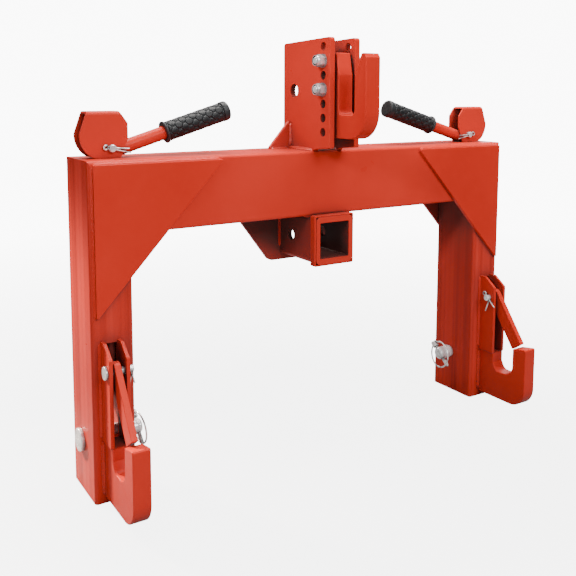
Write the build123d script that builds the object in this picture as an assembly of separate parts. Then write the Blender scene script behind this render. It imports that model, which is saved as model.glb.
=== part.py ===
from build123d import *
import math
import os

os.makedirs("parts", exist_ok=True)

# ---------------------------------------------------------------- dimensions
# millimetres.  Design frame: X across the hitch, Y from the implement side
# (hooks) to the tractor side, Z up.  Y = 0 is the front face of the square
# tubes and Z = 0 the ground under the legs.  YO shifts everything so that the
# origin is the centre of the footprint of the whole hitch.
YO = 4.0

WIDTH = 740.0          # overall width over the legs
HEIGHT = 456.0         # ground to the top of the crossbar
DEPTH = 92.0           # tube depth, front to back
LEG_W = 57.0           # leg tube width
BAR_H = 98.0           # crossbar height
WALL = 4.0             # tube wall
TUBE_R = 4.6           # outer corner radius of the tubes

GUS_T = 6.0            # corner gusset plate
GUS_IN = 178.0         # inner end of the corner gusset, from the middle
GUS_OUT = 364.0        # outer edge of the corner gusset
GUS_TOP = 451.0
GUS_LOW = 250.0

MAST_IN = 17.8         # half gap between the mast plates
MAST_T = 9.0
MAST_Y0, MAST_Y1 = -40.5, 84.5
MAST_TOP, MAST_FRONT_TOP = 618.0, 622.3   # rear and front of the upper edge
HOLE_Y = -23.5         # column of adjusting holes
HOLE_Z0 = 609.0
HOLE_PITCH = 20.7
HOLE_N = 7
HOLE_D = 13.0
LINK_Y, LINK_Z, LINK_D = 54.5, 545.3, 21.0   # top link pin hole

HOOK_T = 25.0          # top hook thickness
HOOK_FRONT = -106.0
BOLT_D, NUT_AF = 11.2, 16.6

REC_OUT, REC_OUT_H = 66.0, 72.0 # receiver tube, outside: width and height
REC_IN, REC_IN_H = 52.4, 54.6   # receiver tube, inside: width and height
REC_Z = 322.0
REC_Y0, REC_Y1 = -18.5, 92.0
COL_W, COL_H = 71.6, 77.0       # collar round the mouth of the receiver
REC_PIN_D, REC_PIN_Y = 17.0, 52.0

SEAT_X = 345.0         # lower hook centre, from the middle
LHOOK_T = 24.0
LHOOK_Y = -105.0
LHOOK_Z = 9.5
MOUTH_Y, MOUTH_Z, MOUTH_R = -57.5, 78.0, 19.5

EAR_OUT, EAR_T = 14.0, 5.0      # latch ears, half spacing over the outside
EAR_Y, EAR_TOP, EAR_LOW = -34.0, 221.0, 88.0

LP_Y, LP_Z, LP_D = -22.0, 186.0, 10.0        # latch pivot
LATCH_T = 9.0
LATCH_X = 346.5
TAIL_R = 42.0
TAIL_A = math.radians(24.37)

ROD_D = 12.0
LV_X, LV_Y = 326.0, 46.0        # lever pivot
LV_H = 13.0                     # pivot above the crossbar, lever down
CAM_K = 19.0                   # lift per radian of lever turn
CAM_END = math.radians(109.6)
CAM_TOP = 49.0                  # pivot to the top of the bracket
CAM_W, CAM_T = 26.0, 3.0        # folded lever bracket: width, sheet
CAM_GAP = 0.3
LV_PIN_D = 10.0
BAR_D = 19.0
BAR_A = math.radians(17.0)      # handle above level
GRIP_D, GRIP_FL = 28.0, 31.5
GRIP_T0, GRIP_T1 = 83.0, 180.0  # grip along the bar, from below the pivot

BALL_PIN_Y, BALL_PIN_Z, BALL_PIN_D = 54.0, 70.5, 22.0   # lower link pins
BALL_PIN_END = 285.5
LYNCH_X = 291.0


# ------------------------------------------------------------------- helpers
def block(x0, x1, y0, y1, z0, z1):
    return Pos((x0 + x1) / 2, (y0 + y1) / 2, (z0 + z1) / 2) * Box(
        x1 - x0, y1 - y0, z1 - z0)


def rounded_face(pts):
    """Closed outline of (a, b, radius) corners, as a face in the XY plane."""
    n = len(pts)
    starts, ends, mids = [], [], []
    for i in range(n):
        ax, ay = pts[i - 1][:2]
        bx, by, r = pts[i]
        cx, cy = pts[(i + 1) % n][:2]
        if r <= 0:
            starts.append((bx, by)); ends.append((bx, by)); mids.append(None)
            continue
        u = ((ax - bx), (ay - by)); v = ((cx - bx), (cy - by))
        lu, lv = math.hypot(*u), math.hypot(*v)
        u = (u[0] / lu, u[1] / lu); v = (v[0] / lv, v[1] / lv)
        half = math.acos(max(-1, min(1, u[0] * v[0] + u[1] * v[1]))) / 2
        t = r / math.tan(half)
        s = (bx + u[0] * t, by + u[1] * t)
        e = (bx + v[0] * t, by + v[1] * t)
        w = (u[0] + v[0], u[1] + v[1]); lw = math.hypot(*w)
        d = r / math.sin(half)
        c = (bx + w[0] / lw * d, by + w[1] / lw * d)
        m = (c[0] - w[0] / lw * r, c[1] - w[1] / lw * r)
        starts.append(s); ends.append(e); mids.append(m)
    edges = []
    for i in range(n):
        if mids[i] is not None:
            edges.append(ThreePointArc(starts[i], mids[i], ends[i]))
        a, b = ends[i], starts[(i + 1) % n]
        if math.hypot(a[0] - b[0], a[1] - b[1]) > 1e-6:
            edges.append(Line(a, b))
    return make_face(edges)


def plate_yz(pts, x0, x1):
    """Outline in (Y, Z), extruded from x0 to x1."""
    pl = Plane(origin=(x0, 0, 0), x_dir=(0, 1, 0), z_dir=(1, 0, 0))
    return extrude(pl * rounded_face(pts), amount=x1 - x0)


def plate_xz(pts, y0, y1):
    """Outline in (X, Z), extruded from y0 to y1."""
    pl = Plane(origin=(0, y1, 0), x_dir=(1, 0, 0), z_dir=(0, -1, 0))
    return extrude(pl * rounded_face(pts), amount=y1 - y0)


def cyl(p, q, r, r2=None):
    """Cylinder, or cone, between two points."""
    d = Vector(*q) - Vector(*p)
    pl = Plane(origin=p, z_dir=d)
    h = d.length
    s = Cylinder(r, h) if r2 is None else Cone(r, r2, h)
    return pl * (Pos(0, 0, h / 2) * s)


def cyl_x(y, z, r, x0, x1):
    return cyl((x0, y, z), (x1, y, z), r)


def cyl_y(x, z, r, y0, y1):
    return cyl((x, y0, z), (x, y1, z), r)


def hexagon(p, q, flats):
    """Hexagonal prism between two points."""
    d = Vector(*q) - Vector(*p)
    pl = Plane(origin=p, z_dir=d)
    return extrude(pl * RegularPolygon(flats / 2, 6, major_radius=False),
                   amount=d.length)


def rect_tube(x0, x1, y0, y1, z0, z1, wall, r, along):
    """Rounded rectangular tube; along is 'x', 'y' or 'z'."""
    if along == "z":
        pl = Plane(origin=((x0 + x1) / 2, (y0 + y1) / 2, z0))
        w, h, n = x1 - x0, y1 - y0, z1 - z0
    elif along == "x":
        pl = Plane(origin=(x0, (y0 + y1) / 2, (z0 + z1) / 2),
                   x_dir=(0, 1, 0), z_dir=(1, 0, 0))
        w, h, n = y1 - y0, z1 - z0, x1 - x0
    else:
        pl = Plane(origin=((x0 + x1) / 2, y1, (z0 + z1) / 2),
                   x_dir=(1, 0, 0), z_dir=(0, -1, 0))
        w, h, n = x1 - x0, z1 - z0, y1 - y0
    out = extrude(pl * RectangleRounded(w, h, r), amount=n)
    inn = extrude(pl * RectangleRounded(w - 2 * wall, h - 2 * wall,
                                        max(0.8, r - wall)), amount=n)
    return out - inn


def soften(s, length, edges_of=None):
    """Small chamfer-like rounding of the edges in a list."""
    try:
        return fillet(edges_of, length)
    except Exception:
        return s


def solids_of(s):
    return list(s.solids())


NODES = {}


def keep(name, shape):
    NODES[name] = Pos(0, YO, 0) * shape


def keep_pair(name, shape):
    """Right-hand piece as modelled, left-hand piece mirrored."""
    keep("right_" + name, shape)
    keep("left_" + name, mirror(shape, about=Plane.YZ))


HW = WIDTH / 2
LX0 = HW - LEG_W                    # inner side of the right leg
BAR_Z0 = HEIGHT - BAR_H

# ---------------------------------------------------------- frame of tubes
# the crossbar and the legs meet at a mitre that runs from the inner corner
# (LX0, BAR_Z0) to the outer corner (HW, HEIGHT)
mitre_r = plate_xz([(LX0, BAR_Z0, 0), (HW, HEIGHT, 0), (HW + 60, HEIGHT, 0),
                    (HW + 60, BAR_Z0 - 60, 0), (LX0, BAR_Z0 - 60, 0)],
                   -10, DEPTH + 10)
mitre_l = mirror(mitre_r, about=Plane.YZ)
crossbar = rect_tube(-HW, HW, 0, DEPTH, BAR_Z0, HEIGHT, WALL, TUBE_R, "x")
crossbar = crossbar - mitre_r - mitre_l
for s in (1, -1):
    crossbar -= cyl((s * LV_X, LV_Y, HEIGHT - 12), (s * LV_X, LV_Y, HEIGHT + 2),
                    ROD_D / 2 + 1.2)
keep("crossbar", crossbar)

bar_zone = plate_xz([(LX0, BAR_Z0, 0), (HW, HEIGHT, 0), (HW, HEIGHT + 60, 0),
                     (LX0 - 60, HEIGHT + 60, 0), (LX0 - 60, BAR_Z0, 0)],
                    -10, DEPTH + 10)
leg = rect_tube(LX0, HW, 0, DEPTH, 0, HEIGHT, WALL, TUBE_R, "z") - bar_zone
# slot for the latch in the front wall, between the ears
leg -= plate_xz([(SEAT_X - 9, 90, 2), (SEAT_X + 9, 90, 2),
                 (SEAT_X + 9, 217.5, 2), (SEAT_X - 9, 217.5, 2)], -2, WALL + 3)
# opening in the rear wall for the ball of the tractor's lower link
leg -= plate_xz([(LX0 + WALL, -5, 0), (HW - WALL, -5, 0),
                 (HW - WALL, 110, 8), (LX0 + WALL, 110, 8)],
                DEPTH - WALL - 3, DEPTH + 3)
leg -= cyl_x(BALL_PIN_Y, BALL_PIN_Z, BALL_PIN_D / 2 + 0.08, LX0 - 5, HW + 5)
keep_pair("leg", leg)

gus = [(GUS_IN + 3, GUS_TOP, 0), (GUS_OUT, GUS_TOP, 1.5), (GUS_OUT, GUS_LOW + 3, 0),
       (GUS_OUT - 3.2, GUS_LOW + 3.4, 0), (GUS_IN + 3, GUS_TOP - 3.4, 0)]
gf = plate_xz(gus, -GUS_T, 0)
gf = fillet(gf.faces().sort_by(Axis.Y)[0].edges(), 1.0)
keep_pair("front_gusset", gf)
gr = plate_xz(gus, DEPTH, DEPTH + GUS_T)
gr = fillet(gr.faces().sort_by(Axis.Y)[-1].edges(), 1.0)
keep_pair("rear_gusset", gr)

# ------------------------------------------------------------------- mast
mast = plate_yz([(MAST_Y1, HEIGHT, 0), (2, HEIGHT, 0), (-1.5, HEIGHT + 2.5, 0),
                 (MAST_Y0, HEIGHT + 6, 3), (MAST_Y0, MAST_FRONT_TOP, 5),
                 (MAST_Y1, MAST_TOP, 5)], MAST_IN, MAST_IN + MAST_T)
for i in range(HOLE_N):
    mast -= cyl_x(HOLE_Y, HOLE_Z0 - i * HOLE_PITCH, HOLE_D / 2, MAST_IN - 3,
                  MAST_IN + MAST_T + 3)
mast -= cyl_x(LINK_Y, LINK_Z, LINK_D / 2, MAST_IN - 3, MAST_IN + MAST_T + 3)
rim = [e for f in (mast.faces().sort_by(Axis.X)[0], mast.faces().sort_by(Axis.X)[-1])
       for e in f.outer_wire().edges() if e.center().Z > HEIGHT + 1]
mast = fillet(rim, 0.8)
keep_pair("mast_plate", mast)

RIB_Y, RIB_T = 64.0, 6.0
rib = plate_xz([(MAST_IN + MAST_T, HEIGHT, 0), (64, HEIGHT, 0), (64, HEIGHT + 3, 0),
                (MAST_IN + MAST_T + 3, 498, 0), (MAST_IN + MAST_T, 498, 0)],
               RIB_Y, RIB_Y + RIB_T)
keep_pair("mast_rib", rib)

# ---------------------------------------------------------------- top hook
hk = plate_yz([(-6, 476.5, 2), (HOOK_FRONT, 476.5, 38), (HOOK_FRONT, 591, 2),
               (HOOK_FRONT + 4, 597, 2), (-94.5, 597, 2),
               (-80.5, 566, 4), (-79.5, 510.5, 8), (-42.5, 510.5, 8),
               (-42.5, 568, 4), (-36, 600, 1.5), (-6, 600, 2)],
              -HOOK_T / 2, HOOK_T / 2)
bolt_z = [HOLE_Z0 - HOLE_PITCH, HOLE_Z0 - 3 * HOLE_PITCH]
hook_rim = [e for f in (hk.faces().sort_by(Axis.X)[0], hk.faces().sort_by(Axis.X)[-1])
            for e in f.outer_wire().edges()]
hk = fillet(hook_rim, 1.4)
for z in bolt_z:
    hk -= cyl_x(HOLE_Y, z, BOLT_D / 2 + 0.4, -20, 20)
keep("top_hook", hk)

bolts, nuts, washers, spacers = [], [], [], []
XM = MAST_IN + MAST_T
for z in bolt_z:
    b = cyl_x(HOLE_Y, z, BOLT_D / 2, -XM - 15.0, XM + 2.4)
    b = chamfer(b.edges().sort_by(Axis.X)[0], 1.2)
    head = hexagon((XM + 2.1, HOLE_Y, z), (XM + 9.1, HOLE_Y, z), NUT_AF)
    head &= cyl_x(HOLE_Y, z, NUT_AF * 0.555, XM + 2.1, XM + 9.1)
    bolts.append(b + head)
    nut = hexagon((-XM - 2.1, HOLE_Y, z), (-XM - 10.6, HOLE_Y, z), NUT_AF)
    nut &= cyl_x(HOLE_Y, z, NUT_AF * 0.555, -XM - 10.6, -XM - 2.1)
    nut += cyl((-XM - 10.6, HOLE_Y, z), (-XM - 14.4, HOLE_Y, z), 8.1, 7.6)
    nut -= cyl_x(HOLE_Y, z, 6.7, -XM - 20, -XM - 11.6)
    nut -= cyl_x(HOLE_Y, z, BOLT_D / 2 + 0.1, -XM - 20, -XM)
    nuts.append(nut)
    for s in (1, -1):
        w = cyl((s * XM, HOLE_Y, z), (s * (XM + 2.0), HOLE_Y, z), 10.0)
        w -= cyl_x(HOLE_Y, z, BOLT_D / 2 + 0.3, -80, 80)
        washers.append(w)
        sp = cyl((s * 12.6, HOLE_Y, z), (s * (MAST_IN - 0.1), HOLE_Y, z), 8.0)
        sp -= cyl_x(HOLE_Y, z, BOLT_D / 2 + 0.3, -80, 80)
        spacers.append(sp)
keep("hook_bolts", Compound(children=[x.solid() for x in bolts]))
keep("hook_nuts", Compound(children=[x.solid() for x in nuts]))
keep("hook_washers", Compound(children=[x.solid() for x in washers]))
keep("hook_spacers", Compound(children=[x.solid() for x in spacers]))

# ---------------------------------------------------------------- receiver
ro, rh = REC_OUT / 2, REC_OUT_H / 2
ri, rhi = REC_IN / 2, REC_IN_H / 2


def box_xz(w, h, r, y0, y1):
    """Rounded box of half width w and half height h round the socket's axis."""
    return plate_xz([(-w, REC_Z - h, r), (w, REC_Z - h, r), (w, REC_Z + h, r),
                     (-w, REC_Z + h, r)], y0, y1)


rt = box_xz(ro, rh, 7.0, REC_Y0, REC_Y1) - box_xz(ri, rhi, 1.6, REC_Y0 - 2, REC_Y1 + 2)
rt -= cyl_x(REC_PIN_Y, REC_Z, REC_PIN_D / 2, -ro - 5, ro + 5)
keep("receiver_tube", rt)
col = box_xz(COL_W / 2, COL_H / 2, 2.4, REC_Y0 + 1, REC_Y0 + 12)
col = fillet(col.faces().sort_by(Axis.Y)[0].edges(), 0.9)
col -= box_xz(ro + 0.15, rh + 0.15, 2.0, REC_Y0 - 2, REC_Y0 + 14)
keep("receiver_collar", col)
rg = plate_xz([(-115, BAR_Z0, 0), (-53, 276, 14), (53, 276, 14), (115, BAR_Z0, 0)],
              86.0, 92.0)
rg -= box_xz(ro + 0.15, rh + 0.15, 7.0, 80, 98)
keep("receiver_gusset", rg.solids().sort_by(SortBy.VOLUME)[-1]
     if len(rg.solids()) > 1 else rg)

# ------------------------------------------------------------- lower hooks
x0, x1 = SEAT_X - LHOOK_T / 2, SEAT_X + LHOOK_T / 2
mouth_low = (MOUTH_Y, MOUTH_Z - MOUTH_R)
lh = plate_yz([(0, LHOOK_Z, 1), (LHOOK_Y, LHOOK_Z, 32), (LHOOK_Y, 114, 3),
               (MOUTH_Y - MOUTH_R, 108.5, 2.5),
               (MOUTH_Y - MOUTH_R, mouth_low[1], 19.0),
               (-41.0, mouth_low[1], 11.0), (-34, 72, 3), (-34, 88, 0), (0, 88, 0)],
              x0, x1)
rim = [e for f in (lh.faces().sort_by(Axis.X)[0], lh.faces().sort_by(Axis.X)[-1])
       for e in f.outer_wire().edges()
       if e.center().Y < -4 and not (e.center().Z > 87.9 and e.center().Y > -35)]
lh = fillet(rim, 1.6)
keep_pair("lower_hook", lh)

ear = [(0, EAR_TOP, 0), (-12, EAR_TOP, 2), (EAR_Y, 205, 3), (EAR_Y, EAR_LOW, 1.5),
       (0, EAR_LOW, 0)]
for nm, a in (("inner_ear", SEAT_X - EAR_OUT), ("outer_ear", SEAT_X + EAR_OUT - EAR_T)):
    e = plate_yz(ear, a, a + EAR_T)
    rim = [g for f in (e.faces().sort_by(Axis.X)[0], e.faces().sort_by(Axis.X)[-1])
           for g in f.outer_wire().edges() if g.center().Y < -1]
    e = fillet(rim, 0.7)
    e -= cyl_x(LP_Y, LP_Z, LP_D / 2 + 0.1, a - 3, a + EAR_T + 3)
    keep_pair(nm, e)

# latch: a flat bar hung on the latch pin, with a tail that reaches through
# the slot to the lift rod inside the leg
ux, uz = -0.581, -0.8139            # along the bar, downwards
nx, nz = -0.8139, 0.581             # towards its outer edge


def lp(a, b):
    return (LP_Y + ux * a + nx * b, LP_Z + uz * a + nz * b)


ta = (math.cos(TAIL_A), -math.sin(TAIL_A))
tb = (math.sin(TAIL_A), math.cos(TAIL_A))


def tp(a, b):
    return (LP_Y + ta[0] * a + tb[0] * b, LP_Z + ta[1] * a + tb[1] * b)


bar_pts = [lp(-12.3, 12.3), lp(93.5, 12.3), lp(93.5, -10.5), lp(-12.3, -10.5)]
bar2 = plate_yz([(*bar_pts[0], 10), (*bar_pts[1], 1.5), (*bar_pts[2], 1.5),
                 (*bar_pts[3], 5)], LATCH_X - LATCH_T / 2, LATCH_X + LATCH_T / 2)
tail_pts = [tp(-6, 9), tp(52, 9), tp(52, -9), tp(-6, -9)]
tail = plate_yz([(*tail_pts[0], 3), (*tail_pts[1], 7), (*tail_pts[2], 7),
                 (*tail_pts[3], 3)], LATCH_X - LATCH_T / 2, LATCH_X + LATCH_T / 2)
bar2 = fillet([e for f in (bar2.faces().sort_by(Axis.X)[0], bar2.faces().sort_by(Axis.X)[-1])
               for e in f.outer_wire().edges()], 0.8)
latch = bar2 + tail
latch -= cyl_x(LP_Y, LP_Z, LP_D / 2 + 0.08, LATCH_X - 10, LATCH_X + 10)
sl0, sl1 = tp(39.0, 0), tp(45.2, 0)
SLOT_R = 4.7
latch -= cyl_x(sl0[0], sl0[1], SLOT_R, LATCH_X - 10, LATCH_X + 10)
latch -= cyl_x(sl1[0], sl1[1], SLOT_R, LATCH_X - 10, LATCH_X + 10)
latch -= plate_yz([(*tp(39.0, SLOT_R), 0), (*tp(45.2, SLOT_R), 0),
                   (*tp(45.2, -SLOT_R), 0), (*tp(39.0, -SLOT_R), 0)],
                  LATCH_X - 10, LATCH_X + 10)
keep_pair("latch", latch)


def cotter(p, along, side, legs=(20.0, 17.0), wire=1.15, spread=(0.16, 0.34),
           loop=4.2):
    """Split pin: an eye, and two legs that pass through a hole at p and open
    out.  along is the way the legs point, side the way they open."""
    a = Vector(*along).normalized()
    s = Vector(*side).normalized()
    P = Vector(*p)
    g = wire * 1.02

    def at(u, v):
        q = P + a * u + s * v
        return (q.X, q.Y, q.Z)
    parts = []
    eye = ThreePointArc(at(-6.2, -g), at(-6.2 - 2 * loop, 0), at(-6.2, g))
    parts.append(sweep(Plane(origin=eye @ 0, z_dir=eye % 0) * Circle(wire), path=eye))
    for sg, ln, sp in ((-1, legs[0], spread[0]), (1, legs[1], spread[1])):
        k = at(6.2, sg * g)
        parts.append(cyl(at(-6.2, sg * g), k, wire))
        tip = (P + a * (6.2 + ln * math.cos(sp)) + s * (sg * (g + ln * math.sin(sp))))
        parts.append(cyl(k, (tip.X, tip.Y, tip.Z), wire, wire * 0.8))
        parts.append(Pos(*k) * Sphere(wire * 1.01))
        parts.append(Pos(*at(-6.2, sg * g)) * Sphere(wire * 1.01))
    out = parts[0]
    for q in parts[1:]:
        out += q
    return out


# latch pin: head on the outer side, split pin on the inner side
lpx0, lpx1 = SEAT_X - EAR_OUT - 8.0, SEAT_X + EAR_OUT
latch_pin = cyl_x(LP_Y, LP_Z, LP_D / 2, lpx0, lpx1 + 1)
latch_pin = chamfer(latch_pin.edges().sort_by(Axis.X)[0], 1.0)
head = cyl_x(LP_Y, LP_Z, 8.8, lpx1 + 0.2, lpx1 + 3.4)
head = fillet(head.edges().sort_by(Axis.X)[-1], 1.0)
latch_pin += head
cp = (lpx0 + 4.2, LP_Y, LP_Z)
cot_dir = (0, -0.70, -0.714)
latch_pin -= cyl((cp[0], cp[1] + 8 * 0.70, cp[2] + 8 * 0.714),
                 (cp[0], cp[1] - 8 * 0.70, cp[2] - 8 * 0.714), 2.6)
keep_pair("latch_pin", latch_pin)
keep_pair("latch_pin_cotter", cotter(cp, cot_dir, (0, -0.714, 0.70),
                                     legs=(20.0, 15.0), spread=(1.12, 0.06), loop=2.9))

# --------------------------------------------------- lift rod inside the leg
PIN_Z = HEIGHT + LV_H
ROD_PIN_Y = LP_Y + 40.1
ROD_PIN_Z = LP_Z - 18.17
RX = LATCH_X - LATCH_T / 2 - 3.4          # centre of the tongue on the rod
path = FilletPolyline((LV_X, LV_Y, PIN_Z - 6), (LV_X, LV_Y, 398),
                      (RX, ROD_PIN_Y, 246), (RX, ROD_PIN_Y, ROD_PIN_Z + 16),
                      radius=24.0)
rod = sweep(Plane(origin=path @ 0, z_dir=path % 0) * Circle(ROD_D / 2), path=path)
eye = plate_xz([(LV_X - 8.2, PIN_Z - 12, 0.8), (LV_X + 8.2, PIN_Z - 12, 0.8),
                (LV_X + 8.2, PIN_Z + 8.2, 8.0), (LV_X - 8.2, PIN_Z + 8.2, 8.0)],
               LV_Y - 8, LV_Y + 8)
rod += eye
tongue = plate_yz([(ROD_PIN_Y - 8, ROD_PIN_Z - 10, 7.5), (ROD_PIN_Y + 8, ROD_PIN_Z - 10, 7.5),
                   (ROD_PIN_Y + 8, ROD_PIN_Z + 20, 3), (ROD_PIN_Y - 8, ROD_PIN_Z + 20, 3)],
                  RX - 2.6, RX + 2.6)
rod += tongue
rod -= cyl_y(LV_X, PIN_Z, LV_PIN_D / 2 + 0.08, LV_Y - 12, LV_Y + 12)
rod -= cyl_x(ROD_PIN_Y, ROD_PIN_Z, 4.05, RX - 8, RX + 8)
keep_pair("lift_rod", rod)
rp = cyl_x(ROD_PIN_Y, ROD_PIN_Z, 4.0, RX - 2.8, LATCH_X + LATCH_T / 2 + 4.0)
rp += cyl_x(ROD_PIN_Y, ROD_PIN_Z, 6.5, RX - 5.2, RX - 2.7)
rp += cyl_x(ROD_PIN_Y, ROD_PIN_Z, 6.0, LATCH_X + LATCH_T / 2 + 1.6,
            LATCH_X + LATCH_T / 2 + 4.0)
keep_pair("rod_end_pin", rp)

# ---------------------------------------------------- cam lever and handle
PX = LV_X


def cam_pt(t):
    s = LV_H - CAM_GAP + CAM_K * t
    return (PX + s * math.sin(t) + CAM_K * math.cos(t),
            PIN_Z - s * math.cos(t) + CAM_K * math.sin(t))


def cam_edges():
    """Outline of a cheek; the lower outer edge lifts the pivot steadily up to
    a right angle, and its straight flank is what the open lever lies on."""
    z = PIN_Z
    q = [cam_pt(math.radians(d)) for d in (0, 22.5, 45, 67.5, 90)]
    top = z + CAM_TOP
    ed = [Line((PX - 13.0, z - LV_H + CAM_GAP), q[0]),
          ThreePointArc(q[0], q[1], q[2]), ThreePointArc(q[2], q[3], q[4]),
          Line(q[4], (PX + 32.0, top)),
          Line((PX + 32.0, top), (PX - 11.5, top)),
          Line((PX - 11.5, top), (PX - 23.0, z + 33)),
          Line((PX - 23.0, z + 33), (PX - 23.0, z + 13)),
          Line((PX - 23.0, z + 13), (PX - 13.0, z - LV_H + CAM_GAP))]
    return ed


pl = Plane(origin=(0, LV_Y + CAM_W / 2, 0), x_dir=(1, 0, 0), z_dir=(0, -1, 0))
cam = extrude(pl * make_face(cam_edges()), amount=CAM_W)
top_edges = [e for e in cam.edges().filter_by(Axis.X) if e.center().Z > PIN_Z + CAM_TOP - 1]
cam = fillet(top_edges, 5.0)
gapx = block(PX - 60, PX + 60, LV_Y - CAM_W / 2 + CAM_T, LV_Y + CAM_W / 2 - CAM_T,
             PIN_Z - 30, PIN_Z + CAM_TOP - CAM_T)
gapx = fillet([e for e in gapx.edges().filter_by(Axis.X)
               if e.center().Z > PIN_Z + CAM_TOP - 6], 2.0)
cam -= gapx
cam -= cyl_y(PX, PIN_Z, LV_PIN_D / 2 + 0.06, LV_Y - 20, LV_Y + 20)
keep_pair("lever_bracket", cam)

bd = (-math.cos(BAR_A), math.sin(BAR_A))          # inwards and up, in (X, Z)
b0 = (PX, PIN_Z - 6.3)


def bp(t, y=LV_Y):
    return (b0[0] + bd[0] * t, y, b0[1] + bd[1] * t)


hbar = cyl(bp(14.0), bp(172.0), BAR_D / 2)
hbar = chamfer(hbar.edges().sort_by(Axis.X)[-1], 1.0)
keep_pair("handle_bar", hbar)
grip = cyl(bp(GRIP_T0), bp(GRIP_T0 + 3.5), GRIP_FL / 2)
grip += cyl(bp(GRIP_T0 + 3.0), bp(GRIP_T1), GRIP_D / 2)
grip += cyl(bp(GRIP_T1 - 9.0), bp(GRIP_T1), GRIP_D / 2 + 0.5)
grip = fillet(grip.edges().filter_by(GeomType.CIRCLE).sort_by(Axis.X)[0], 3.0)
grip -= cyl(bp(70.0), bp(172.6), BAR_D / 2 + 0.05)
keep_pair("handle_grip", grip)

# lever pin: head at the back, split pin in front of the bracket
fy = LV_Y - CAM_W / 2
by = LV_Y + CAM_W / 2
lv_pin = cyl_y(PX, PIN_Z, LV_PIN_D / 2, fy - 6.0, by + 1)
lv_pin = chamfer(lv_pin.edges().sort_by(Axis.Y)[0], 1.0)
lv_pin += cyl_y(PX, PIN_Z, 8.0, by + 0.2, by + 3.4)
lc = (PX, fy - 3.0, PIN_Z)
cdir = (-0.985, 0, -0.17)
lv_pin -= cyl((lc[0] + 9 * 0.985, lc[1], lc[2] + 9 * 0.17),
              (lc[0] - 9 * 0.985, lc[1], lc[2] - 9 * 0.17), 2.6)
keep_pair("lever_pin", lv_pin)
keep_pair("lever_pin_cotter", cotter(lc, cdir, (-0.17, 0, 0.985),
                                     legs=(20.0, 17.0), spread=(0.04, 0.10), loop=2.6))

# ------------------------------------------------- lower link pins and keys
key_d = (-0.735, -0.678)            # along the key's shank, in (Y, Z)
link_pin = cyl_x(BALL_PIN_Y, BALL_PIN_Z, BALL_PIN_D / 2, BALL_PIN_END, HW + 1.5)
link_pin = chamfer(link_pin.edges().sort_by(Axis.X)[0], 3.0)
hd = cyl_x(BALL_PIN_Y, BALL_PIN_Z, 15.8, HW + 0.4, HW + 5.6)
hd = fillet(hd.edges().sort_by(Axis.X)[-1], 1.6)
link_pin += hd
link_pin -= cyl((LYNCH_X, BALL_PIN_Y - 20 * key_d[0], BALL_PIN_Z - 20 * key_d[1]),
                (LYNCH_X, BALL_PIN_Y + 20 * key_d[0], BALL_PIN_Z + 20 * key_d[1]), 3.4)
keep_pair("link_pin", link_pin)


def kp(t, x=LYNCH_X):
    return (x, BALL_PIN_Y + key_d[0] * t, BALL_PIN_Z + key_d[1] * t)


shank = cyl(kp(-14.0), kp(25.0), 3.0) + cyl(kp(25.0), kp(28.0), 3.0, 1.6)
khead = cyl(kp(-24.0), kp(-13.5), 5.4)
khead = fillet(khead.edges().filter_by(GeomType.CIRCLE).sort_by(Axis.Z)[-1], 1.5)
HINGE_T = -19.5
hn = (0, -key_d[1], key_d[0])       # hinge of the ring, across the shank
hc = kp(HINGE_T)
khead -= cyl((hc[0], hc[1] - hn[1] * 9, hc[2] - hn[2] * 9),
             (hc[0], hc[1] + hn[1] * 9, hc[2] + hn[2] * 9), 1.75)
keep_pair("lynch_pin", shank + khead)
# ring: a wire loop whose two straight ends stand in the head of the key
RING_R, RING_W = 22.8, 1.3


TILT = math.radians(6.6)            # the loop leans outwards past the shank


def rp3(u, v):
    """Point in the plane of the ring: u from the hinge, v along the hinge."""
    a = u * math.cos(TILT)
    return (LYNCH_X - u * math.sin(TILT), hc[1] + key_d[0] * a + hn[1] * v,
            hc[2] + key_d[1] * a + hn[2] * v)


cu = 22.4                           # centre of the loop from the hinge
va = 8.2
ARM = 7.3
ua = cu - math.sqrt(RING_R ** 2 - va ** 2)
arc = ThreePointArc(rp3(ua, va), rp3(cu + RING_R, 0), rp3(ua, -va))
ring = sweep(Plane(origin=arc @ 0, z_dir=arc % 0) * Circle(RING_W), path=arc)
for sg in (1, -1):
    ring += cyl(rp3(ua, sg * va), rp3(0, sg * ARM), RING_W)
    ring += Pos(*rp3(ua, sg * va)) * Sphere(RING_W)
    ring += Pos(*rp3(0, sg * ARM)) * Sphere(RING_W)
    ring += cyl(rp3(0, sg * ARM), rp3(0, sg * 1.5), RING_W)
keep_pair("lynch_ring", ring)

# ------------------------------------------------------------------ output
for name, shape in NODES.items():
    ss = solids_of(shape)
    out = ss[0] if len(ss) == 1 else Compound(children=ss)
    out.label = name
    export_step(out, os.path.join("parts", name + ".step"))
    print(name, len(ss), round(sum(x.volume for x in ss)))
allb = Compound(children=[x for s in NODES.values() for x in s.solids()]).bounding_box()
print("box", allb.min, allb.max)
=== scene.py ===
import bpy
import math
import random
import numpy as np
from mathutils import Matrix, Vector


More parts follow.
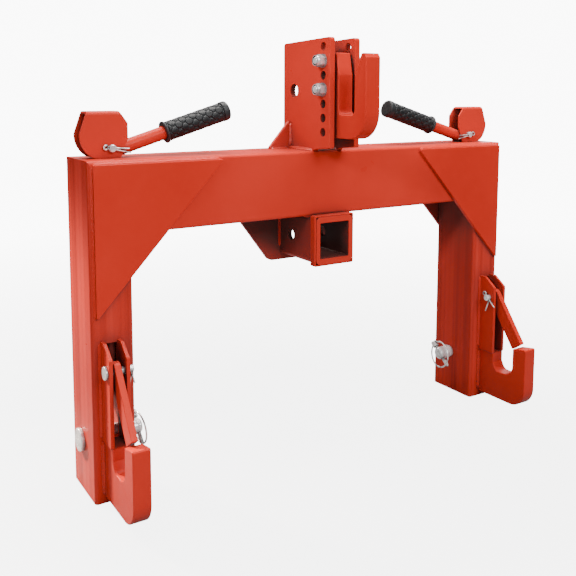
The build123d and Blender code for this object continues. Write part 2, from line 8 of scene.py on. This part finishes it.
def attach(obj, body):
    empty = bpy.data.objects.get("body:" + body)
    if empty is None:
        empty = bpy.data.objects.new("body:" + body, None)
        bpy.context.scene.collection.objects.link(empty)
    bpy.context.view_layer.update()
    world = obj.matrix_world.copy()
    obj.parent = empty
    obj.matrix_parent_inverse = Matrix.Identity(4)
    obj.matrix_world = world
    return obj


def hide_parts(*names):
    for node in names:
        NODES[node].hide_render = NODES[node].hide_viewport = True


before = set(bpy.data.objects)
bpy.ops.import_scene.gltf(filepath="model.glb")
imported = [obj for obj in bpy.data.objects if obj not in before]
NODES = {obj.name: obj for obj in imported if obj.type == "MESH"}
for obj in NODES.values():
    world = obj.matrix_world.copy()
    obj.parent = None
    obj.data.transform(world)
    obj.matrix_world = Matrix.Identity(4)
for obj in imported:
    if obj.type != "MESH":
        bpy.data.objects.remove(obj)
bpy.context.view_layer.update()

YO = 4.0                      # the CAD's shift along Y, in mm


def D(x, y, z):
    """A point of the drawing, in mm, as a point of the row frame in metres."""
    return Vector((x, y + YO, z)) / 1000.0


# ------------------------------------------------------------------ camera
cam_data = bpy.data.cameras.new("camera")
cam = bpy.data.objects.new("camera", cam_data)
bpy.context.scene.collection.objects.link(cam)
bpy.context.scene.camera = cam
F_PX, CX, CY = 765.296, 288.0, 176.0
yaw, pitch, roll = 0.5618142, 0.1099452, -0.0023721
fw = Vector((math.sin(yaw) * math.cos(pitch), math.cos(yaw) * math.cos(pitch), -math.sin(pitch)))
rt = Vector((math.cos(yaw), -math.sin(yaw), 0.0))
dn = fw.cross(rt)
r2 = rt * math.cos(roll) + dn * math.sin(roll)
d2 = -rt * math.sin(roll) + dn * math.cos(roll)
m = Matrix((r2, -d2, -fw)).transposed().to_4x4()
m.translation = D(-665.5789, -943.3119, 543.9765)
cam.matrix_world = m
cam_data.sensor_fit = "HORIZONTAL"
cam_data.sensor_width = 36.0
cam_data.lens = 36.0 * F_PX / 576.0
cam_data.shift_x = (288.0 - CX) / 576.0
cam_data.shift_y = -(288.0 - CY) / 576.0
cam_data.clip_start, cam_data.clip_end = 0.05, 60.0


# --------------------------------------------------------------- materials
def new_mat(name):
    mat = bpy.data.materials.new(name)
    mat.use_nodes = True
    nt = mat.node_tree
    nt.nodes.clear()
    out = nt.nodes.new("ShaderNodeOutputMaterial")
    bsdf = nt.nodes.new("ShaderNodeBsdfPrincipled")
    nt.links.new(bsdf.outputs["BSDF"], out.inputs["Surface"])
    return mat, nt, bsdf


def coords(nt):
    return nt.nodes.new("ShaderNodeTexCoord").outputs["Object"]


def noise(nt, vec, scale, detail=3.0, rough=0.5, w=None):
    n = nt.nodes.new("ShaderNodeTexNoise")
    n.inputs["Scale"].default_value = scale
    n.inputs["Detail"].default_value = detail
    n.inputs["Roughness"].default_value = rough
    nt.links.new(vec, n.inputs["Vector"])
    return n.outputs["Fac"]


def ramp(nt, fac, stops):
    r = nt.nodes.new("ShaderNodeValToRGB")
    el = r.color_ramp.elements
    el[0].position, el[0].color = stops[0][0], (*stops[0][1], 1)
    el[1].position, el[1].color = stops[-1][0], (*stops[-1][1], 1)
    for p, c in stops[1:-1]:
        e = el.new(p)
        e.color = (*c, 1)
    nt.links.new(fac, r.inputs["Fac"])
    return r.outputs["Color"]


def maprange(nt, fac, a, b, c, d):
    r = nt.nodes.new("ShaderNodeMapRange")
    r.inputs["From Min"].default_value = a
    r.inputs["From Max"].default_value = b
    r.inputs["To Min"].default_value = c
    r.inputs["To Max"].default_value = d
    nt.links.new(fac, r.inputs["Value"])
    return r.outputs["Result"]


def mixc(nt, fac, a, b, mode="MIX"):
    mx = nt.nodes.new("ShaderNodeMix")
    mx.data_type = "RGBA"
    mx.blend_type = mode
    if isinstance(fac, float):
        mx.inputs["Factor"].default_value = fac
    else:
        nt.links.new(fac, mx.inputs["Factor"])
    for sock, v in ((mx.inputs[6], a), (mx.inputs[7], b)):
        if isinstance(v, tuple):
            sock.default_value = (*v, 1)
        else:
            nt.links.new(v, sock)
    return mx.outputs[2]


def bump(nt, height, strength, distance, normal=None):
    b = nt.nodes.new("ShaderNodeBump")
    b.inputs["Strength"].default_value = strength
    b.inputs["Distance"].default_value = distance
    nt.links.new(height, b.inputs["Height"])
    if normal is not None:
        nt.links.new(normal, b.inputs["Normal"])
    return b.outputs["Normal"]


def paint_material(name, base, dark, light, peel=1.0, coat=0.02, painted_shade_max=0.88, gloss=0.10, streak_scale=None, open_ao=0.78,
                   shut_ao=0.20, hole_shade_max=0.95, hole_ao=(0.10, 0.44)):
    """Gloss powder coat: slightly uneven colour, orange peel, fine scuffs, a painted highlight along convex edges,
    painted light and dark streaks along tubes when a streak scale is given, and painted shade in corners, gaps, under
    the bars and inside openings.
    """
    mat, nt, bsdf = new_mat(name)
    v = coords(nt)
    big = noise(nt, v, 5.0, 3.0)
    mid = noise(nt, v, 38.0, 4.0, 0.6)
    col = ramp(nt, big, [(0.30, dark), (0.52, base), (0.78, light)])
    col = mixc(nt, maprange(nt, mid, 0.45, 0.8, 0.0, 0.22), col, light)
    # painted reflection: light and dark streaks along the length of a tube, standing for the streaky reflections in
    # its glossy sides
    if streak_scale is not None:
        gm = nt.nodes.new("ShaderNodeMapping")
        gm.inputs["Scale"].default_value = streak_scale
        nt.links.new(v, gm.inputs["Vector"])
        painted_streaks = noise(nt, gm.outputs["Vector"], 1.0, 2.0, 0.5)
        col = mixc(nt, maprange(nt, painted_streaks, 0.50, 0.66, 0.0, 0.55), col, tuple(c * 0.62 for c in dark))
        col = mixc(nt, maprange(nt, painted_streaks, 0.50, 0.36, 0.0, 0.30), col, tuple(c * 1.25 + 0.02 for c in light))
    # painted highlight: convex edges slightly paler, standing for light caught by their rounding
    geo = nt.nodes.new("ShaderNodeNewGeometry")
    edge_highlight = maprange(nt, geo.outputs["Pointiness"], 0.54, 0.66, 0.0, 0.10)
    col = mixc(nt, edge_highlight, col, tuple(min(1.0, c * 1.15 + 0.05) for c in light))
    # a few fine scuffs
    mp = nt.nodes.new("ShaderNodeMapping")
    mp.inputs["Scale"].default_value = (1.0, 1.0, 7.0)
    mp.inputs["Rotation"].default_value = (0.5, 0.9, 0.2)
    nt.links.new(v, mp.inputs["Vector"])
    sc = noise(nt, mp.outputs["Vector"], 60.0, 6.0, 0.75)
    scuff = maprange(nt, sc, 0.71, 0.78, 0.0, 0.22)
    col = mixc(nt, scuff, col, tuple(c * 0.75 + 0.05 for c in light))
    # painted shade: darkening in corners, gaps and under the bars, from ambient occlusion, weighted by height so it
    # is strongest just under the crossbar; deep openings are darkened too
    ao = nt.nodes.new("ShaderNodeAmbientOcclusion")
    ao.samples = 4
    ao.inputs["Distance"].default_value = 0.30
    painted_shade = maprange(nt, ao.outputs["AO"], shut_ao, open_ao, painted_shade_max, 0.0)
    sep = nt.nodes.new("ShaderNodeSeparateXYZ")
    nt.links.new(v, sep.inputs[0])
    height = maprange(nt, sep.outputs["Z"], 0.0, 0.65, 0.0, 1.0)
    shade_height_weight = ramp(nt, height, [(0.03, (0.12,) * 3), (0.22, (0.35,) * 3), (0.48, (1.0,) * 3),
                              (0.57, (1.0,) * 3), (0.68, (0.40,) * 3), (1.0, (0.40,) * 3)])
    mul = nt.nodes.new("ShaderNodeMath")
    mul.operation = "MULTIPLY"
    nt.links.new(painted_shade, mul.inputs[0])
    nt.links.new(shade_height_weight, mul.inputs[1])
    hole_shade = maprange(nt, ao.outputs["AO"], hole_ao[0], hole_ao[1], hole_shade_max, 0.0)
    most = nt.nodes.new("ShaderNodeMath")
    most.operation = "MAXIMUM"
    nt.links.new(mul.outputs["Value"], most.inputs[0])
    nt.links.new(hole_shade, most.inputs[1])
    painted_shade = most.outputs["Value"]
    # the painted shade colour: a dim brownish dark
    col = mixc(nt, painted_shade, col, (0.070, 0.042, 0.038))
    nt.links.new(col, bsdf.inputs["Base Color"])
    rg = maprange(nt, noise(nt, v, 22.0, 4.0, 0.6), 0.3, 0.75, 0.27, 0.40)
    nt.links.new(rg, bsdf.inputs["Roughness"])
    bsdf.inputs["IOR"].default_value = 1.42
    bsdf.inputs["Specular IOR Level"].default_value = gloss
    bsdf.inputs["Coat Weight"].default_value = coat
    bsdf.inputs["Coat Roughness"].default_value = 0.16
    fine = noise(nt, v, 520.0, 2.0, 0.5)
    wave = noise(nt, v, 90.0, 2.0, 0.5)
    n1 = bump(nt, fine, 0.22 * peel, 0.00022)
    n2 = bump(nt, wave, 0.25 * peel, 0.0007, n1)
    nt.links.new(n2, bsdf.inputs["Normal"])
    return mat


def zinc_material(name, tint, rough0=0.24, rough1=0.42, metal=0.8, reflection_blotches=0.0, ao_dist=0.006,
                  ao_open=0.95):
    """Bright zinc plate: faint mottling, fine scratches, small dark specks, dark blotches painted as reflections and
    painted shade in recesses.
    """
    mat, nt, bsdf = new_mat(name)
    v = coords(nt)
    mott = noise(nt, v, 120.0, 4.0, 0.6)
    col = ramp(nt, mott, [(0.30, tuple(c * 0.78 for c in tint)), (0.55, tint),
                          (0.80, tuple(min(1.0, c * 1.12) for c in tint))])
    # painted reflection: soft dark blotches standing for dark surroundings mirrored in the metal
    if reflection_blotches:
        reflection_blotch_mask = noise(nt, v, 85.0, 1.0, 0.5)
        col = mixc(nt, maprange(nt, reflection_blotch_mask, 0.52, 0.40, 0.0, reflection_blotches), col, (0.05, 0.055, 0.06))
    spot = maprange(nt, noise(nt, v, 420.0, 3.0, 0.7), 0.66, 0.74, 0.0, 0.35)
    col = mixc(nt, spot, col, (0.25, 0.24, 0.22))
    # painted shade: darker in recesses such as the nut's annular end, from ambient occlusion
    ao = nt.nodes.new("ShaderNodeAmbientOcclusion")
    ao.samples = 4
    ao.inputs["Distance"].default_value = ao_dist
    col = mixc(nt, maprange(nt, ao.outputs["AO"], 0.40, ao_open, 0.96, 0.0), col, (0.02, 0.02, 0.019))
    nt.links.new(col, bsdf.inputs["Base Color"])
    bsdf.inputs["Metallic"].default_value = metal
    nt.links.new(maprange(nt, mott, 0.3, 0.75, rough0, rough1), bsdf.inputs["Roughness"])
    mp = nt.nodes.new("ShaderNodeMapping")
    mp.inputs["Scale"].default_value = (1.0, 9.0, 9.0)
    nt.links.new(v, mp.inputs["Vector"])
    scr = noise(nt, mp.outputs["Vector"], 260.0, 4.0, 0.7)
    n1 = bump(nt, scr, 0.25, 0.00012)
    nt.links.new(n1, bsdf.inputs["Normal"])
    return mat


def rubber_material(name):
    """Moulded black grip: satin faces, a painted highlight on the raised pads, painted shade in the hollows between
    them, fine surface bumps.
    """
    mat, nt, bsdf = new_mat(name)
    v = coords(nt)
    big = noise(nt, v, 30.0, 4.0, 0.6)
    col = ramp(nt, big, [(0.30, (0.005, 0.006, 0.007)), (0.55, (0.009, 0.010, 0.011)),
                         (0.80, (0.018, 0.020, 0.022))])
    geo = nt.nodes.new("ShaderNodeNewGeometry")
    # painted highlight on the raised pads, picked out by pointiness
    pad_highlight = maprange(nt, geo.outputs["Pointiness"], 0.50, 0.56, 0.0, 0.55)
    col = mixc(nt, pad_highlight, col, (0.055, 0.060, 0.065))
    # painted shade in the grooves between the pads
    lo = maprange(nt, geo.outputs["Pointiness"], 0.44, 0.49, 0.8, 0.0)
    col = mixc(nt, lo, col, (0.006, 0.006, 0.007))
    nt.links.new(col, bsdf.inputs["Base Color"])
    nt.links.new(maprange(nt, big, 0.3, 0.75, 0.42, 0.60), bsdf.inputs["Roughness"])
    bsdf.inputs["Specular IOR Level"].default_value = 0.30
    g = noise(nt, v, 1500.0, 2.0, 0.6)
    nt.links.new(bump(nt, g, 0.35, 0.0002), bsdf.inputs["Normal"])
    return mat


RED = (0.63, 0.031, 0.015)
RED_D = (0.57, 0.026, 0.012)
RED_L = (0.69, 0.040, 0.021)
# Copies of the coat differ mainly in how much painted shade and painted light they carry.
paint = paint_material("red_powder_coat", RED, RED_D, RED_L)
# Weld copy: rougher peel, more coat and less painted shade.
paint_weld = paint_material("red_powder_coat_on_weld", RED, RED_D, RED_L, peel=1.6, coat=0.12, painted_shade_max=0.35)
# Bead copy: a glossy coat and a paler tone; the paler tone is a painted highlight on the beads at the mast foot.
paint_bead_highlit = paint_material("red_powder_coat_on_bead_painted_highlight", RED, RED_D, (0.80, 0.060, 0.030),
                            peel=1.6, coat=0.5, painted_shade_max=0.35, gloss=0.5)
# Leg copy: painted light and dark streaks along the tubes, and weaker painted shade in the hollow inside of the legs.
paint_leg = paint_material("red_powder_coat_legs", RED, RED_D, RED_L, streak_scale=(75.0, 75.0, 0.5),
                           open_ao=0.97, shut_ao=0.66, hole_shade_max=0.25)
# Receiver copy: heavy painted shade under the crossbar.
paint_receiver_shaded = paint_material("red_powder_coat_receiver_painted_shade", RED, RED_D, RED_L, open_ao=0.94, shut_ao=0.58, painted_shade_max=0.97)
# Mast copy: its openings painted darker as shade.
paint_mast = paint_material("red_powder_coat_mast", RED, RED_D, RED_L, hole_shade_max=0.97, hole_ao=(0.26, 0.60))
# Rod copy: a paler tone as painted light and little painted shade, so the rods read as lit inside the slot.
paint_rod_lit = paint_material("red_powder_coat_rods_painted_light", RED, RED_D, (0.80, 0.060, 0.030), painted_shade_max=0.1, gloss=0.3)
zinc = zinc_material("zinc_plate", (0.97, 0.99, 1.0), 0.18, 0.32, metal=0.40, reflection_blotches=0.25)
zinc_nut = zinc_material("zinc_plate_nut", (0.97, 0.99, 1.0), 0.10, 0.20, metal=0.55, reflection_blotches=0.45,
                         ao_dist=0.012, ao_open=0.99)
zinc_wire = zinc_material("zinc_wire", (0.97, 0.97, 0.95), 0.16, 0.30, metal=0.40, reflection_blotches=0.7)
# The hook spacers get a dark finish as painted shade, so they read as the dark gap between the mast plates and the
# hook.
spacer_gap_shade = zinc_material("spacer_dark_as_gap_shade", (0.16, 0.15, 0.14), 0.45, 0.6, metal=0.6)
rubber = rubber_material("black_rubber")


def set_material(o, mat):
    o.data.materials.clear()
    o.data.materials.append(mat)


for name, o in NODES.items():
    if "grip" in name:
        set_material(o, rubber)
    elif "cotter" in name or "lynch" in name:
        set_material(o, zinc_wire)
    elif name in ("receiver_tube", "receiver_gusset"):
        set_material(o, paint_receiver_shaded)
    elif "mast_plate" in name:
        set_material(o, paint_mast)
    elif "lift_rod" in name:
        set_material(o, paint_rod_lit)
    elif name in ("left_leg", "right_leg"):
        set_material(o, paint_leg)
    # dark finish on the spacers as painted shade in the gap
    elif name == "hook_spacers":
        set_material(o, spacer_gap_shade)
    elif name in ("hook_nuts", "hook_washers"):
        set_material(o, zinc_nut)
    elif name == "hook_bolts" or "link_pin" in name or "latch_pin" in name \
            or "lever_pin" in name or "rod_end_pin" in name:
        set_material(o, zinc)
    else:
        set_material(o, paint)


# ------------------------------------------------------------ mesh helpers
def add_mesh(name, verts, faces, mat, body, smooth=True):
    me = bpy.data.meshes.new(name)
    me.from_pydata([tuple(v) for v in verts], [], faces)
    me.validate()
    me.update()
    if smooth:
        me.polygons.foreach_set("use_smooth", [True] * len(me.polygons))
    o = bpy.data.objects.new(name, me)
    bpy.context.scene.collection.objects.link(o)
    set_material(o, mat)
    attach(o, body)
    return o


def weld(name, pts, da, db, r, body="frame", pitch=4.2, seed=1, k=9, fade=2.0, mat=None):
    """A fillet weld along a run of points (mm).  da and db are the directions
    in which its two toes lie, seen from the corner."""
    rnd = random.Random(seed)
    P = [np.array(p, float) for p in pts]
    da = np.array(da, float); da /= np.linalg.norm(da)
    db = np.array(db, float); db /= np.linalg.norm(db)
    seg = [np.linalg.norm(P[i + 1] - P[i]) for i in range(len(P) - 1)]
    L = sum(seg)
    n = max(8, int(L / 0.9))
    phases = [rnd.uniform(-0.12, 0.12) for _ in range(int(L / pitch) + 4)]
    sizes = [rnd.uniform(0.93, 1.08) for _ in range(int(L / pitch) + 4)]
    verts, faces = [], []
    ring = k + 1
    for i in range(n + 1):
        s = L * i / n
        t, j = s, 0
        while j < len(seg) - 1 and t > seg[j]:
            t -= seg[j]
            j += 1
        c = P[j] + (P[j + 1] - P[j]) * min(1.0, t / seg[j])
        e = min(s, L - s)
        env = math.sqrt(max(0.0, 1 - (1 - min(1.0, e / (r * fade))) ** 2)) * 0.98 + 0.02
        back = -(da + db) * r * 0.18
        for q in range(k):
            f = q / (k - 1)
            ang = f * math.pi / 2
            bulge = math.sin(f * math.pi)
            u = (s / pitch) + 0.42 * bulge + 0.5
            cell = int(u)
            ph = u - cell + phases[cell % len(phases)]
            rip = (abs(math.sin(math.pi * ph)) ** 0.55) * 0.16 - 0.10
            rr = r * (1.0 + rip * (0.35 + 0.65 * bulge)) * sizes[cell % len(sizes)] * env
            flat = 0.74 + 0.26 * (abs(math.cos(2 * ang)))
            d = da * math.cos(ang) + db * math.sin(ang)
            verts.append(D(*(c + d * rr * flat)))
        verts.append(D(*(c + back * env)))
    for i in range(n):
        for q in range(ring):
            a = i * ring + q
            b = i * ring + (q + 1) % ring
            faces.append((a, b, b + ring, a + ring))
    faces.append(tuple(range(ring))[::-1])
    faces.append(tuple(n * ring + q for q in range(ring)))
    o = add_mesh(name, verts, faces, mat or paint_weld, body)
    bm_fix(o)
    return o


def bm_fix(o):
    import bmesh
    bm = bmesh.new()
    bm.from_mesh(o.data)
    bmesh.ops.recalc_face_normals(bm, faces=bm.faces)
    bm.to_mesh(o.data)
    bm.free()


# ------------------------------------------------------------- weld beads
sd = 10
for s, side in ((-1, "left"), (1, "right")):
    X = lambda v: s * v
    # corner gussets, front and rear: along the top and down the outer edge
    weld(f"{side}_weld_gusset_front_top", [(X(183), 0, 451), (X(363), 0, 451)],
         (0, -1, 0.05), (0, 0.25, 1), 3.1, seed=sd + 1)
    weld(f"{side}_weld_gusset_front_side", [(X(364), 0, 449), (X(364), 0, 251)],
         (0.05 * s, -1, 0), (s, 0.25, 0), 3.1, seed=sd + 2)
    weld(f"{side}_weld_gusset_rear_top", [(X(183), 92, 451), (X(363), 92, 451)],
         (0, 1, 0.05), (0, -0.25, 1), 3.9, seed=sd + 3)
    weld(f"{side}_weld_gusset_rear_side", [(X(364), 92, 449), (X(364), 92, 251)],
         (0.05 * s, 1, 0), (s, -0.25, 0), 3.9, seed=sd + 4)
    # mast plates on the crossbar
    weld(f"{side}_weld_mast_outer", [(X(26.8), 3, 456), (X(26.8), 83, 456)],
         (s, 0, 0), (0, 0, 1), 4.2, seed=sd + 5, mat=paint_bead_highlit)
    weld(f"{side}_weld_mast_inner", [(X(17.8), 3, 456), (X(17.8), 83, 456)],
         (-s, 0, 0), (0, 0, 1), 3.6, seed=sd + 6, mat=paint_bead_highlit)
    weld(f"{side}_weld_mast_rear", [(X(18), 84.5, 456), (X(26.6), 84.5, 456)],
         (0, 1, 0), (0, 0, 1), 3.4, seed=sd + 7)
    # ribs beside the mast
    weld(f"{side}_weld_rib_base", [(X(32), 64, 456), (X(63), 64, 456)],
         (0, -1, 0), (0, 0, 1), 2.8, seed=sd + 8, mat=paint_bead_highlit)
    weld(f"{side}_weld_rib_base_rear", [(X(32), 70, 456), (X(63), 70, 456)],
         (0, 1, 0), (0, 0, 1), 2.8, seed=sd + 9)
    weld(f"{side}_weld_rib_side", [(X(26.8), 64, 460), (X(26.8), 64, 496)],
         (s, 0, 0), (0, -1, 0), 2.8, seed=sd + 10, mat=paint_bead_highlit)
    weld(f"{side}_weld_rib_side_rear", [(X(26.8), 70, 460), (X(26.8), 70, 496)],
         (s, 0, 0), (0, 1, 0), 2.8, seed=sd + 11)
    # inner corner of the frame
    weld(f"{side}_weld_corner_inner", [(X(313), 5, 358), (X(313), 87, 358)],
         (-s, 0, 0), (0, 0, -1), 3.4, seed=sd + 12)
    # receiver tube under the crossbar
    weld(f"{side}_weld_receiver_top", [(X(29.5), 3, 358), (X(29.5), 85, 358)],
         (s, 0, 0), (0.2 * s, 0, -1), 4.4, seed=sd + 13)
    # cross plate behind the receiver
    weld(f"{side}_weld_plate_top", [(X(36), 86, 358), (X(116), 86, 358)],
         (0, -1, 0), (0, 0, -1), 3.2, seed=sd + 14)
    weld(f"{side}_weld_plate_tube", [(X(33), 86, 350), (X(33), 86, 298)],
         (s, 0, 0), (0, -1, 0), 3.2, seed=sd + 15)
    # ears and lower hook on the leg
    for nm, x, dx in (("ear_in_in", 331, -1), ("ear_in_out", 336, 1),
                      ("ear_out_in", 354, -1), ("ear_out_out", 359, 1)):
        if nm in ("ear_in_in", "ear_out_out"):
            weld(f"{side}_weld_{nm}", [(X(x), 0, 219), (X(x), 0, 91)],
                 (dx * s, 0, 0), (0, -1, 0), 3.4, seed=sd + 16 + x)
    weld(f"{side}_weld_hook_in", [(X(333), 0, 87), (X(333), 0, 12)],
         (-s, 0, 0), (0, -1, 0), 4.2, seed=sd + 17)
    weld(f"{side}_weld_hook_out", [(X(357), 0, 87), (X(357), 0, 12)],
         (s, 0, 0), (0, -1, 0), 4.2, seed=sd + 18)
    sd += 40


# ----------------------------------------------------------------- grips
def grip_mesh(side, s):
    """Moulded grip with raised lozenge scales, a flange and a plain collar."""
    A = math.radians(17.0)
    b0 = np.array([326.0, 46.0, 469.0 - 6.3])
    ax = np.array([-math.cos(A), 0.0, math.sin(A)])
    e1 = np.array([0.0, 1.0, 0.0])
    e2 = np.cross(ax, e1)
    NU, NV = 144, 230
    t0, t1 = 83.0, 180.0
    prof = []                       # (t, radius, pattern weight)
    r_in = 9.6
    verts, faces = [], []

    def add_ring(t, rfun):
        i0 = len(verts)
        c = b0 + ax * t
        for u in range(NU):
            a = 2 * math.pi * u / NU
            r = rfun(a)
            p = c + (e1 * math.cos(a) + e2 * math.sin(a)) * r
            verts.append(D(s * p[0], p[1], p[2]))
        return i0

    rings = []
    # mouth, flange, body, collar, dome
    rings.append(add_ring(t0 + 3.0, lambda a: r_in))
    rings.append(add_ring(t0 + 0.6, lambda a: r_in))
    rings.append(add_ring(t0 + 0.1, lambda a: r_in + 0.6))
    for r, t in ((13.2, 0.0), (15.0, 0.25), (15.6, 0.9), (15.7, 1.8), (15.4, 2.8), (14.6, 3.4)):
        rings.append(add_ring(t0 + t, lambda a, r=r: r))
    NCIRC = 7                       # pads round the grip
    PL = 16.4                       # pad length along the grip
    span0, span1 = t0 + 4.0, t0 + 92.5

    def scale_height(t, a):
        v = (t - span0) / PL
        u = a / (2 * math.pi) * NCIRC
        best = 0.0
        row = math.floor(v * 2)
        for rr in (row - 1, row, row + 1, row + 2):
            cv = rr / 2.0
            off = 0.5 if (rr % 2) else 0.0
            cu = round(u - off) + off
            du, dv = (u - cu), (v - cv)
            # rounded hexagon, longer along the grip
            hx = max(abs(dv) * 1.30 + abs(du) * 0.72, abs(du) * 1.12)
            el = math.hypot(dv * 1.62, du * 1.25)
            d = 0.55 * hx + 0.45 * el
            h = 1.0 - max(0.0, min(1.0, (d - 0.42) / 0.10))
            dome = 1.0 - 0.16 * min(1.0, (d / 0.5) ** 2)
            best = max(best, h * h * (3 - 2 * h) * dome)
        return best

    for i in range(NV + 1):
        t = span0 + (span1 - span0) * i / NV
        e = min(t - span0, span1 - t)
        w = max(0.0, min(1.0, e / 1.6))
        rings.append(add_ring(t, lambda a, t=t, w=w: 12.55 + 1.45 * scale_height(t, a) * w))
    for r, t in ((13.0, 93.0), (14.1, 93.4), (14.4, 94.2), (14.4, 99.6), (14.2, 101.0),
                 (13.5, 102.1), (12.2, 102.8), (10.4, 103.0), (6.0, 103.0), (2.0, 103.0)):
        rings.append(add_ring(t0 + t, lambda a, r=r: r))
    for a, b in zip(rings, rings[1:]):
        for u in range(NU):
            v = (u + 1) % NU
            faces.append((a + u, a + v, b + v, b + u))
    c = len(verts)
    p = b0 + ax * (t0 + 103.0)
    verts.append(D(s * p[0], p[1], p[2]))
    for u in range(NU):
        faces.append((rings[-1] + u, rings[-1] + (u + 1) % NU, c))
    o = add_mesh(f"{side}_grip_moulded", verts, faces, rubber, f"{side}_lever")
    bm_fix(o)
    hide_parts(f"{side}_handle_grip")
    return o


grip_mesh("left", -1)
grip_mesh("right", 1)

# ------------------------------------------------------------------- stage
WHITE = 10.0                  # background brightness, seen by the camera only


def camera_only(nt, strength):
    """An emission that shows in the picture and lights nothing."""
    em = nt.nodes.new("ShaderNodeEmission")
    em.inputs["Strength"].default_value = strength
    lp = nt.nodes.new("ShaderNodeLightPath")
    return em, lp.outputs["Is Camera Ray"]


bpy.ops.mesh.primitive_plane_add(size=60, location=(0, 0, -0.0005))
floor = bpy.context.active_object
floor.name = "floor"
fmat, fnt, fb = new_mat("pale_floor")
fcol = ramp(fnt, noise(fnt, coords(fnt), 0.8, 2.0), [(0.3, (0.24, 0.24, 0.24)), (0.7, (0.27, 0.27, 0.27))])
fnt.links.new(fcol, fb.inputs["Base Color"])
fb.inputs["Roughness"].default_value = 0.85
em, cray = camera_only(fnt, WHITE)
sep = fnt.nodes.new("ShaderNodeVectorMath")
sep.operation = "LENGTH"
fnt.links.new(coords(fnt), sep.inputs[0])
far = maprange(fnt, sep.outputs["Value"], 0.35, 2.0, 0.55, 1.0)
mul = fnt.nodes.new("ShaderNodeMath")
mul.operation = "MULTIPLY"
fnt.links.new(far, mul.inputs[0])
fnt.links.new(cray, mul.inputs[1])
fmix = fnt.nodes.new("ShaderNodeMixShader")
fnt.links.new(mul.outputs["Value"], fmix.inputs["Fac"])
fnt.links.new(fb.outputs["BSDF"], fmix.inputs[1])
fnt.links.new(em.outputs["Emission"], fmix.inputs[2])
fnt.links.new(fmix.outputs["Shader"], [n for n in fnt.nodes if n.type == "OUTPUT_MATERIAL"][0].inputs["Surface"])
set_material(floor, fmat)


def area(name, loc, target, size, size_y, power, color=(1, 1, 1)):
    ld = bpy.data.lights.new(name, "AREA")
    ld.shape = "RECTANGLE"
    ld.size, ld.size_y = size, size_y
    ld.energy = power
    ld.color = color
    lo = bpy.data.objects.new(name, ld)
    bpy.context.scene.collection.objects.link(lo)
    lo.location = loc
    lo.rotation_mode = "QUATERNION"
    lo.rotation_quaternion = (Vector(target) - Vector(loc)).to_track_quat("-Z", "Y")
    return lo


def spot(name, loc, target, power, angle, blend, radius, color=(1, 1, 1)):
    ld = bpy.data.lights.new(name, "SPOT")
    ld.energy = power
    ld.spot_size = math.radians(angle)
    ld.spot_blend = blend
    ld.shadow_soft_size = radius
    ld.color = color
    lo = bpy.data.objects.new(name, ld)
    bpy.context.scene.collection.objects.link(lo)
    lo.location = loc
    lo.rotation_mode = "QUATERNION"
    lo.rotation_quaternion = (Vector(target) - Vector(loc)).to_track_quat("-Z", "Y")
    return lo


area("key_front", (0.1, -2.3, 1.8), (0, 0, 0.3), 1.6, 1.0, 59)
area("top_soft", (0.1, 0.2, 2.2), (0, 0, 0.4), 2.0, 1.0, 100, (1.0, 0.96, 0.93))
area("rear_top", (0.1, 2.3, 1.7), (0, 0, 0.4), 2.0, 0.8, 16, (1.0, 0.85, 0.76))
spot("left_rear_spot", (-0.76, 0.98, 0.80), (-0.37, 0.02, 0.08), 290, 30, 0.9, 0.06, (1.0, 0.80, 0.68))
spot("mast_spot", (-1.6, -0.6, 1.3), (-0.02, 0.0, 0.60), 110, 15, 0.8, 0.15)
area("left_slot", (-0.56, -0.62, 0.38), (-0.335, 0.02, 0.13), 0.10, 0.10, 0.55)
area("left_top_card", (-0.74, -0.05, 0.42), (-0.37, 0.03, 0.33), 0.14, 0.26, 0.42)
area("right_fill", (2.0, 0.9, 1.1), (0.3, 0, 0.3), 1.0, 1.0, 14)

world = bpy.data.worlds.new("studio")
bpy.context.scene.world = world
world.use_nodes = True
wnt = world.node_tree
wnt.nodes.clear()
wout = wnt.nodes.new("ShaderNodeOutputWorld")
lpath = wnt.nodes.new("ShaderNodeLightPath")
shade = None
for socket, strength in ((None, 0.06), ("Is Glossy Ray", 0.30), ("Is Camera Ray", WHITE)):
    bg = wnt.nodes.new("ShaderNodeBackground")
    bg.inputs["Color"].default_value = (1, 1, 1, 1)
    bg.inputs["Strength"].default_value = strength
    if shade is None:
        shade = bg.outputs["Background"]
        continue
    wmix = wnt.nodes.new("ShaderNodeMixShader")
    wnt.links.new(lpath.outputs[socket], wmix.inputs["Fac"])
    wnt.links.new(shade, wmix.inputs[1])
    wnt.links.new(bg.outputs["Background"], wmix.inputs[2])
    shade = wmix.outputs["Shader"]
wnt.links.new(shade, wout.inputs["Surface"])
